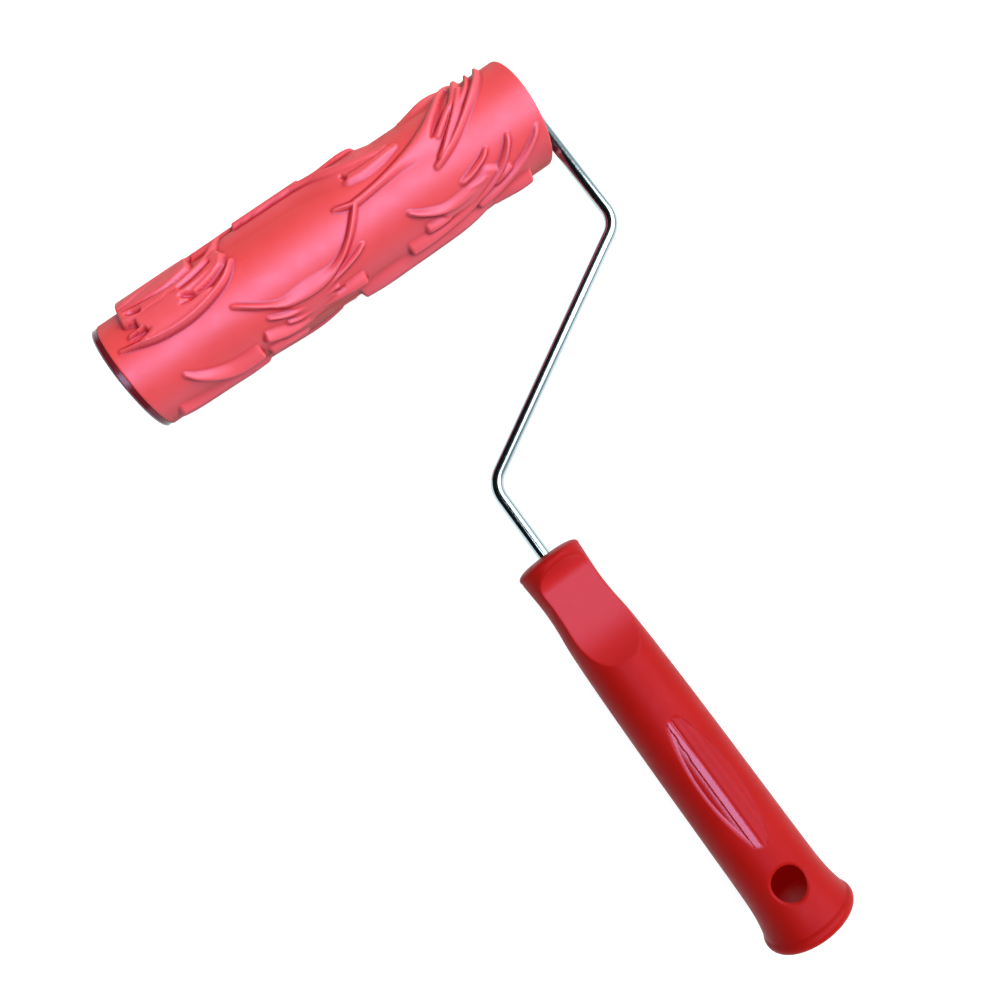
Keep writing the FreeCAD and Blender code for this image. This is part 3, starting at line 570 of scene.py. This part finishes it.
# Degrees round the grip: 90 is up as the tool lies, 0 faces along the roller.
SCOOP_FACING = 82.0
SCOOP_START = 3.2
SCOOP_LEVEL = 13.0
SCOOP_RISE = 20.0
SCOOP_END = 45.6
SCOOP_FLOOR = 6.6
# Where the floor would come out to at SCOOP_START and at SCOOP_END, and how steeply.
SCOOP_IN, SCOOP_IN_POWER = 13.4, 2.8
SCOOP_OUT, SCOOP_OUT_POWER = 14.0, 3.2
# The scoop's edge is rounded over this much, and by up to SCOOP_EDGE_SOFTER more towards the rim.
SCOOP_EDGE = 0.5
SCOOP_EDGE_SOFTER = 1.3
SCOOP_FADE = 0.3

PANEL_FACING = 87.0
PANEL_TOP = 69.5
PANEL_END = 122.5
PANEL_RADIUS = 14.8
PANEL_DEPTH = 0.45
# The fine ridges right of the panel's main one: (mm from its middle, share of its height).
FINE_RIDGES = [(0.4, 0.85), (2.7, 0.6), (5.0, 0.5)]
FINE_WIDTH = 0.42
MAIN_RIDGE = 1.8
# The leaf's outline: half its width at the ends and what the middle adds, left and right.
LEAF_LEFT, LEAF_LEFT_BULGE = 3.0, 4.8
LEAF_RIGHT, LEAF_RIGHT_BULGE = 2.4, 5.8
LEAF_CORNER = 2.4
# How wide its edge slopes, left and right.
LEAF_SLOPE_LEFT, LEAF_SLOPE_RIGHT = 1.6, 0.7
# The leaf is fully polished left of its middle, and this much on the flutes at the right.
FLUTE_POLISH = 0.15


def smaller(a, b, blend):
    """The smaller of two fields, with their meeting edge rounded over blend mm."""
    near = np.clip(0.5 + 0.5 * (b - a) / blend, 0.0, 1.0)
    return b + (a - b) * near - blend * near * (1.0 - near)


def scoop_floor(distance):
    """How far the scoop's floor is from the grip's axis."""
    run_in = np.maximum((SCOOP_LEVEL - distance) / (SCOOP_LEVEL - SCOOP_START), 0.0)
    run_out = np.clip((distance - SCOOP_RISE) / (SCOOP_END - SCOOP_RISE), 0.0, 2.0)
    return (SCOOP_FLOOR + (SCOOP_IN - SCOOP_FLOOR) * run_in ** SCOOP_IN_POWER
            + (SCOOP_OUT - SCOOP_FLOOR) * run_out ** SCOOP_OUT_POWER)


def panel_relief(distance, degrees):
    """The fluted leaf sunk in the grip: how polished each place is (0 to 1), and its depth."""
    along = (distance - PANEL_TOP) / (PANEL_END - PANEL_TOP)
    across = np.radians(PANEL_FACING - degrees) * PANEL_RADIUS
    bulge = np.maximum(np.sin(math.pi * np.clip(along, 0.0, 1.0)), 0.0) ** 0.8
    edge = np.where(across > 0, LEAF_RIGHT + LEAF_RIGHT_BULGE * bulge - across,
                    LEAF_LEFT + LEAF_LEFT_BULGE * bulge + across)
    ends = np.minimum(along, 1.0 - along) * (PANEL_END - PANEL_TOP)
    rim = LEAF_CORNER - np.hypot(np.maximum(LEAF_CORNER - edge, 0.0),
                                 np.maximum(LEAF_CORNER - ends, 0.0))
    inside = smoothstep(rim / np.where(across < 0, LEAF_SLOPE_LEFT, LEAF_SLOPE_RIGHT))
    # The main ridge widens over its first 16 mm.
    main_half = 0.5 + 0.6 * np.clip((distance - PANEL_TOP) / 16.0, 0.0, 1.0)
    main = smoothstep((main_half + 0.3 - np.abs(across + MAIN_RIDGE)) / 0.4)
    fine = sum(share * np.exp(-((across - at) / FINE_WIDTH) ** 2) for at, share in FINE_RIDGES)
    gloss = smoothstep((-0.4 - across) / 0.4)
    polished = inside * (FLUTE_POLISH + (1.0 - FLUTE_POLISH) * gloss)
    return polished, inside * (PANEL_DEPTH * (1.0 - np.maximum(main, fine)))


def grip_radius(distance, degrees):
    """The grip's outer radius, by distance from its top and degrees round it."""
    lip_foot = GRIP_STATIONS[-1][0]
    curve = spline(GRIP_STATIONS, 12)
    body = np.interp(distance, curve[:, 0], curve[:, 1])
    body = body - RIM_GROOVE_DEPTH * np.exp(-((distance - RIM_GROOVE) / RIM_GROOVE_WIDTH) ** 2)
    from_bead = np.clip(np.abs(distance - (GRIP_LENGTH - LIP_BEAD)), 0.0, LIP_BEAD)
    bead = LIP_RADIUS - LIP_BEAD + np.sqrt(LIP_BEAD**2 - from_bead**2)
    beaded = distance > GRIP_LENGTH - 2 * LIP_BEAD
    lip = np.where(distance > lip_foot, bead, np.maximum(body, bead))
    body = np.where(beaded, lip, body)
    softer = SCOOP_EDGE_SOFTER * np.clip((8.0 - distance) / 5.0, 0.0, 1.0)
    for facing in (SCOOP_FACING, -SCOOP_FACING):
        toward = np.cos(np.radians(degrees - facing))
        flat = scoop_floor(distance) / np.maximum(toward, 0.05)
        body = smaller(body, flat, SCOOP_EDGE + softer)
    from_hole = np.hypot(body * np.cos(np.radians(degrees)),
                         distance - (GRIP_LENGTH - HANG_FROM_BUTT))
    near = np.clip((HANG_RADIUS + HOLE_LIP - from_hole) / HOLE_LIP, 0.0, 1.0)
    return body - panel_relief(distance, degrees)[1] - HOLE_LIP_DEPTH * near ** 1.5


GRIP_DEGREES = np.linspace(0.0, 360.0, 360, endpoint=False)
GRIP_LOW, GRIP_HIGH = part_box("handle_grip")
GRIP_AXIS = (GRIP_LOW + GRIP_HIGH) / 2


def grip_row(distance, radius):
    """One ring of the grip's skin, in metres."""
    angle = np.radians(GRIP_DEGREES)
    radius = np.broadcast_to(radius, angle.shape) * MM
    return np.stack([
        GRIP_AXIS.x + radius * np.cos(angle),
        GRIP_HIGH.y - np.broadcast_to(distance, angle.shape) * MM,
        GRIP_AXIS.z + radius * np.sin(angle),
    ], -1)


def make_grip():
    """The moulded grip round its axis along -Y, with a thumb scoop up and one down."""
    side_starts = TOP_SHOULDER - TOP_CROWN
    edge = grip_radius(np.full(GRIP_DEGREES.shape, side_starts), GRIP_DEGREES)
    rows = [
        grip_row(SHANK_IN_GRIP, NEAR_AXIS), grip_row(SHANK_IN_GRIP, SHANK_RADIUS),
        grip_row(0.0, SHANK_RADIUS),
    ]
    for turn in np.radians(np.linspace(84.0, 4.0, 18)):
        radius = edge * math.cos(turn) ** (2 / TOP_SQUARENESS)
        rise = TOP_SHOULDER * math.sin(turn) ** (2 / TOP_SQUARENESS)
        rows.append(grip_row(side_starts - rise, np.maximum(radius, SHANK_RADIUS + 0.1)))
    stations = np.concatenate([
        np.arange(side_starts, GRIP_LENGTH - 2 * LIP_BEAD, 0.5),
        GRIP_LENGTH - LIP_BEAD - LIP_BEAD * np.cos(np.linspace(0.0, math.pi, 25)),
    ])
    for station in stations:
        distance = np.full(GRIP_DEGREES.shape, station)
        rows.append(grip_row(station, grip_radius(distance, GRIP_DEGREES)))
    recess_floor = GRIP_LENGTH - RECESS_DEPTH
    rows += [
        grip_row(GRIP_LENGTH, RECESS_MOUTH + MOUTH_BEVEL),
        grip_row(GRIP_LENGTH - MOUTH_BEVEL, RECESS_MOUTH),
        grip_row(recess_floor + FLOOR_BEVEL, RECESS_FLOOR),
        grip_row(recess_floor, RECESS_FLOOR - FLOOR_BEVEL),
        grip_row(recess_floor, NEAR_AXIS),
    ]
    grip = capped_skin("grip_shell", rows, GRIP_SHARP)
    drill(grip)
    mark_grip(grip)
    return grip


def drill(grip):
    """The hang hole, cut right through."""
    centre = Vector((GRIP_AXIS.x, GRIP_LOW.y + HANG_FROM_BUTT * MM, GRIP_AXIS.z))
    turns = np.radians(np.linspace(0.0, 360.0, 96, endpoint=False))
    rows = [
        np.stack([
            centre.x + HANG_RADIUS * MM * np.cos(turns),
            centre.y + HANG_RADIUS * MM * np.sin(turns),
            np.full(turns.shape, centre.z + height * MM),
        ], -1)
        for height in (2 * LIP_RADIUS, -2 * LIP_RADIUS)
    ]
    cutter = capped_skin("hang_hole_cutter", rows, GRIP_SHARP)
    hole = grip.modifiers.new("hang_hole", "BOOLEAN")
    hole.operation = "DIFFERENCE"
    hole.solver = "EXACT"
    hole.object = cutter
    evaluated = grip.evaluated_get(bpy.context.evaluated_depsgraph_get())
    drilled = bpy.data.meshes.new_from_object(evaluated)
    grip.modifiers.clear()
    grip.data = drilled
    bpy.data.objects.remove(cutter)
    shade_smooth(drilled, GRIP_SHARP)


def places(obj):
    """The vertices of a mesh as an array."""
    found = np.empty(len(obj.data.vertices) * 3, np.float32)
    obj.data.vertices.foreach_get("co", found)
    return found.reshape(-1, 3)


def mark(obj, name, values):
    """Stores a figure for each vertex, for the materials to read."""
    layer = obj.data.attributes.new(name, "FLOAT", "POINT")
    layer.data.foreach_set("value", np.asarray(values, np.float32))


def mark_grip(grip):
    """Marks the gloss panel and the scoops, whose edge fades over SCOOP_FADE."""
    at = places(grip)
    x = (at[:, 0] - GRIP_AXIS.x) / MM
    z = (at[:, 2] - GRIP_AXIS.z) / MM
    distance = (GRIP_HIGH.y - at[:, 1]) / MM
    degrees = np.degrees(np.arctan2(z, x))
    outside = np.hypot(x, z) > RECESS_MOUTH
    mark(grip, "panel", panel_relief(distance, degrees)[0] * outside)
    scooped = np.zeros(len(at))
    for facing in (SCOOP_FACING, -SCOOP_FACING):
        turn = math.radians(facing)
        above = x * math.cos(turn) + z * math.sin(turn) - scoop_floor(distance)
        inside = smoothstep(1.0 + above / SCOOP_FADE) * (distance > SCOOP_START)
        scooped = np.maximum(scooped, inside)
    mark(grip, "scoop", scooped)


# ---------------------------------------------------------------------- materials
class Shader:
    """A material's nodes, wired by name."""

    def __init__(self, name):
        self.material = bpy.data.materials.new(name)
        self.material.use_nodes = True
        self.nodes = self.material.node_tree.nodes
        self.links = self.material.node_tree.links
        self.surface = self.nodes["Principled BSDF"]
        self.coordinates = self.nodes.new("ShaderNodeTexCoord")

    def set(self, **values):
        """Sets or connects the surface's inputs; an underscore stands for a space."""
        for name, value in values.items():
            self.feed(self.surface.inputs[name.replace("_", " ")], value)

    def feed(self, socket, value):
        """Connects an input to another node, or gives it a plain value."""
        if isinstance(value, bpy.types.NodeSocket):
            self.links.new(value, socket)
        else:
            socket.default_value = value

    def noise(self, scale, detail=3.0, stretch=(1, 1, 1)):
        """Noise with scale bumps to the metre, between 0 and 1."""
        place = self.nodes.new("ShaderNodeMapping")
        place.inputs["Scale"].default_value = stretch
        self.links.new(self.coordinates.outputs["Object"], place.inputs["Vector"])
        noise = self.nodes.new("ShaderNodeTexNoise")
        noise.inputs["Scale"].default_value = scale
        noise.inputs["Detail"].default_value = detail
        self.links.new(place.outputs["Vector"], noise.inputs["Vector"])
        return noise.outputs["Fac"]

    def between(self, factor, low, high):
        """low to high as the factor goes from 0.3 to 0.7, the range that noise fills."""
        ramp = self.nodes.new("ShaderNodeMapRange")
        ramp.inputs["From Min"].default_value = 0.3
        ramp.inputs["From Max"].default_value = 0.7
        ramp.inputs["To Min"].default_value = low
        ramp.inputs["To Max"].default_value = high
        self.links.new(factor, ramp.inputs["Value"])
        return ramp.outputs["Result"]

    def mark(self, name):
        """A figure stored on the mesh."""
        attribute = self.nodes.new("ShaderNodeAttribute")
        attribute.attribute_name = name
        return attribute.outputs["Fac"]

    def blend(self, factor, first, second):
        """Mixes two numbers."""
        mix = self.nodes.new("ShaderNodeMix")
        self.feed(mix.inputs[0], factor)
        self.feed(mix.inputs[2], first)
        self.feed(mix.inputs[3], second)
        return mix.outputs[0]

    def tint(self, factor, first, second):
        """Mixes two colours."""
        mix = self.nodes.new("ShaderNodeMix")
        mix.data_type = "RGBA"
        self.feed(mix.inputs[0], factor)
        self.feed(mix.inputs[6], first)
        self.feed(mix.inputs[7], second)
        return mix.outputs[2]

    def edge(self):
        """0 on a face seen straight on, 1 on one seen along its surface."""
        weight = self.nodes.new("ShaderNodeLayerWeight")
        weight.inputs["Blend"].default_value = 0.5
        return self.between(weight.outputs["Facing"], 0.0, 1.0)

    def bump(self, height, depth, strength=1.0, below=None):
        """A bump of a real depth in metres."""
        bump = self.nodes.new("ShaderNodeBump")
        bump.inputs["Distance"].default_value = depth
        self.feed(bump.inputs["Strength"], strength)
        self.links.new(height, bump.inputs["Height"])
        if below is not None:
            self.links.new(below, bump.inputs["Normal"])
        return bump.outputs["Normal"]


def make_rubber():
    """Moulded pink rubber: a fine grain, cloudy colour, a painted sheen that makes the strokes
    pinker, painted shade in the hollows.
    """
    shader = Shader("pattern_rubber")
    cloud = shader.between(shader.noise(45.0, 4.0), 0.0, 1.0)
    ground = shader.tint(cloud, (0.87, 0.066, 0.056, 1), (0.90, 0.078, 0.066, 1))
    # Painted sheen: the raised strokes get a pinker colour that stands in for the light they
    # catch.
    raised_sheen = shader.tint(cloud, (0.90, 0.085, 0.088, 1), (0.92, 0.100, 0.104, 1))
    colour = shader.tint(shader.mark("raised_sheen"), ground, raised_sheen)
    # Painted shade in the hollows at the feet of the strokes.
    colour = shader.tint(shader.mark("hollow_shade"), colour, (0.52, 0.012, 0.016, 1))
    fine = shader.noise(2600.0, 2.0)
    coarse = shader.bump(shader.noise(420.0, 3.0), 0.00005, 0.5)
    shader.set(
        Base_Color=colour,
        Roughness=shader.between(shader.noise(160.0, 5.0), 0.44, 0.54),
        IOR=1.62,
        Specular_IOR_Level=shader.blend(shader.edge(), 1.0, 0.1),
        Specular_Tint=(0.45, 0.55, 1.0, 1),
        Normal=shader.bump(fine, 0.00003, 0.6, coarse),
    )
    return shader.material


def make_grip_plastic():
    """Deep red plastic: satin body with a fine grain, smoother scoops, polished panel.

    The faint red glow is painted light that lifts the grip's shaded side."""
    shader = Shader("grip_plastic")
    cloud = shader.between(shader.noise(30.0, 4.0), 0.0, 1.0)
    body = shader.tint(cloud, (0.33, 0.007, 0.004, 1), (0.37, 0.009, 0.006, 1))
    uneven = shader.noise(220.0, 5.0)
    scoop, panel = shader.mark("scoop"), shader.mark("panel")
    rough = shader.blend(
        scoop, shader.between(uneven, 0.42, 0.52), shader.between(uneven, 0.38, 0.46))
    shader.set(
        Base_Color=shader.tint(scoop, body, (0.42, 0.013, 0.012, 1)),
        Roughness=shader.blend(panel, rough, 0.20),
        Specular_IOR_Level=shader.blend(panel, shader.blend(scoop, 0.12, 0.38), 0.6),
        Specular_Tint=(0.80, 0.62, 1.0, 1),
        # Painted light: a faint red glow that lifts the shaded side of the grip.
        Emission_Color=(1.0, 0.006, 0.002, 1),
        Emission_Strength=0.09,
        Normal=shader.bump(shader.noise(1900.0, 3.0), 0.00004, shader.blend(panel, 0.7, 0.05)),
    )
    return shader.material


def make_chrome():
    """Bright plating, a little blue, with a faint haze and an uneven polish."""
    shader = Shader("chrome_wire")
    haze = shader.between(shader.noise(90.0, 6.0), 0.0, 1.0)
    shader.set(
        Base_Color=shader.tint(haze, (0.42, 0.54, 0.57, 1), (0.48, 0.60, 0.63, 1)),
        Metallic=1.0,
        Roughness=shader.between(shader.noise(700.0, 4.0), 0.09, 0.17),
    )
    return shader.material


def make_tube_plastic():
    """Dark red hard plastic, glossy, with faint turning marks round it."""
    shader = Shader("tube_plastic")
    rings = shader.noise(60.0, 3.0, (40, 1, 1))
    cloud = shader.between(rings, 0.0, 1.0)
    shader.set(
        Base_Color=shader.tint(cloud, (0.11, 0.007, 0.012, 1), (0.15, 0.010, 0.018, 1)),
        Roughness=shader.between(shader.noise(300.0, 4.0), 0.16, 0.28),
        Specular_Tint=(0.8, 0.7, 1.0, 1),
        Normal=shader.bump(rings, 0.00002, 0.4),
    )
    return shader.material


def moulded(name, dark, light, roughness, grain):
    """A moulded plastic: cloudy colour, uneven gloss and a fine grain."""
    shader = Shader(name)
    cloud = shader.between(shader.noise(80.0, 4.0), 0.0, 1.0)
    shader.set(
        Base_Color=shader.tint(cloud, dark, light),
        Roughness=shader.between(shader.noise(300.0, 4.0), roughness - 0.05, roughness + 0.08),
        Normal=shader.bump(shader.noise(grain, 3.0), 0.00003, 0.6),
    )
    return shader.material


def make_zinc():
    """Zinc-plated steel: pale grey with a fine crystalline mottle and turning marks."""
    shader = Shader("zinc_steel")
    spangle = shader.noise(900.0, 5.0)
    turned = shader.noise(120.0, 3.0, (30, 1, 1))
    mottle = shader.between(spangle, 0.0, 1.0)
    shader.set(
        Base_Color=shader.tint(mottle, (0.50, 0.52, 0.55, 1), (0.68, 0.69, 0.70, 1)),
        Metallic=1.0,
        Roughness=shader.between(spangle, 0.26, 0.42),
        Normal=shader.bump(turned, 0.00002, 0.5),
    )
    return shader.material


def paint(node, material):
    """Gives a CAD node its material."""
    mesh = frame["nodes"][node].data
    mesh.materials.clear()
    mesh.materials.append(material)


sleeve = make_sleeve()
sleeve.data.materials.append(make_rubber())
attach(sleeve, "roller")
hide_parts("pattern_sleeve")

grip = make_grip()
grip.data.materials.append(make_grip_plastic())
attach(grip, "frame")
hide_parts("handle_grip")

zinc = make_zinc()
cap_plastic = moulded(
    "cap_plastic", (0.17, 0.009, 0.012, 1), (0.23, 0.012, 0.017, 1), 0.40, 1500.0)
nylon = moulded(
    "bush_nylon", (0.70, 0.67, 0.58, 1), (0.80, 0.77, 0.69, 1), 0.42, 1800.0)
paint("wire_frame", make_chrome())
paint("core_tube", make_tube_plastic())
for side in ("left", "right"):
    paint("end_cap_" + side, cap_plastic)
    paint("bush_" + side, nylon)
    paint("washer_" + side, zinc)
paint("stop_collar", zinc)
paint("push_nut", zinc)


# --------------------------------------------------------- floor, light and camera
# The camera's place from the middle of the roller, and its turns in degrees.
CAMERA_LENS = 31.90
CAMERA_FROM_ROLLER = (-32.19, -146.06, 325.54)
CAMERA_TURNS = (6.683, -0.733, -36.060)


def make_floor():
    """A wide sheet of pale paper, in metres, that glows so that shadows stay faint."""
    half, under = 2.5, -0.0004
    corners = [
        (-half, -half, under), (half, -half, under), (half, half, under), (-half, half, under)]
    floor = new_object("floor", corners, [(0, 1, 2, 3)], ALL_SMOOTH)
    shader = Shader("floor_paper")
    fibre = shader.noise(400.0, 4.0)
    shader.set(
        Base_Color=shader.tint(fibre, (0.38, 0.38, 0.37, 1), (0.42, 0.42, 0.41, 1)),
        Roughness=0.9,
        Emission_Color=(1, 1, 1, 1),
        Emission_Strength=0.84,
    )
    floor.data.materials.append(shader.material)
    floor.visible_diffuse = False


def area_light(name, place, size, power, colour):
    """A square soft light that faces the tool."""
    light = bpy.data.lights.new(name, "AREA")
    light.size = size
    light.energy = power
    light.color = colour
    obj = bpy.data.objects.new(name, light)
    obj.location = place
    obj.rotation_euler = (-Vector(place)).to_track_quat("-Z", "Y").to_euler()
    bpy.context.scene.collection.objects.link(obj)


def make_world():
    """A dim studio: dark on the left, pale on the right."""
    world = bpy.data.worlds.new("studio")
    bpy.context.scene.world = world
    world.use_nodes = True
    nodes, links = world.node_tree.nodes, world.node_tree.links
    coordinates = nodes.new("ShaderNodeTexCoord")
    split = nodes.new("ShaderNodeSeparateXYZ")
    ramp = nodes.new("ShaderNodeMapRange")
    ramp.interpolation_type = "SMOOTHSTEP"
    ramp.inputs["From Min"].default_value = -0.1
    ramp.inputs["From Max"].default_value = 0.9
    ramp.inputs["To Min"].default_value = 0.01
    ramp.inputs["To Max"].default_value = 0.55
    links.new(coordinates.outputs["Generated"], split.inputs["Vector"])
    links.new(split.outputs["X"], ramp.inputs["Value"])
    background = nodes["Background"]
    background.inputs["Color"].default_value = (0.86, 0.95, 1.0, 1)
    links.new(ramp.outputs["Result"], background.inputs["Strength"])


def make_camera():
    """Close above the tool, turned so that the roller climbs to the right."""
    data = bpy.data.cameras.new("camera")
    data.lens = CAMERA_LENS
    data.sensor_width = 36.0
    camera = bpy.data.objects.new("camera", data)
    camera.location = ROLLER_CENTRE + Vector(CAMERA_FROM_ROLLER) * MM
    camera.rotation_euler = [math.radians(turn) for turn in CAMERA_TURNS]
    bpy.context.scene.collection.objects.link(camera)
    bpy.context.scene.camera = camera


make_floor()
area_light("key", (1.15, -0.12, 1.55), 1.6, 34.0, (1.0, 0.98, 0.96))
area_light("overhead", (-0.14, -0.42, 1.6), 0.8, 15.0, (0.86, 0.88, 1.0))
make_world()
bpy.context.scene.view_settings.view_transform = "Standard"
make_camera()
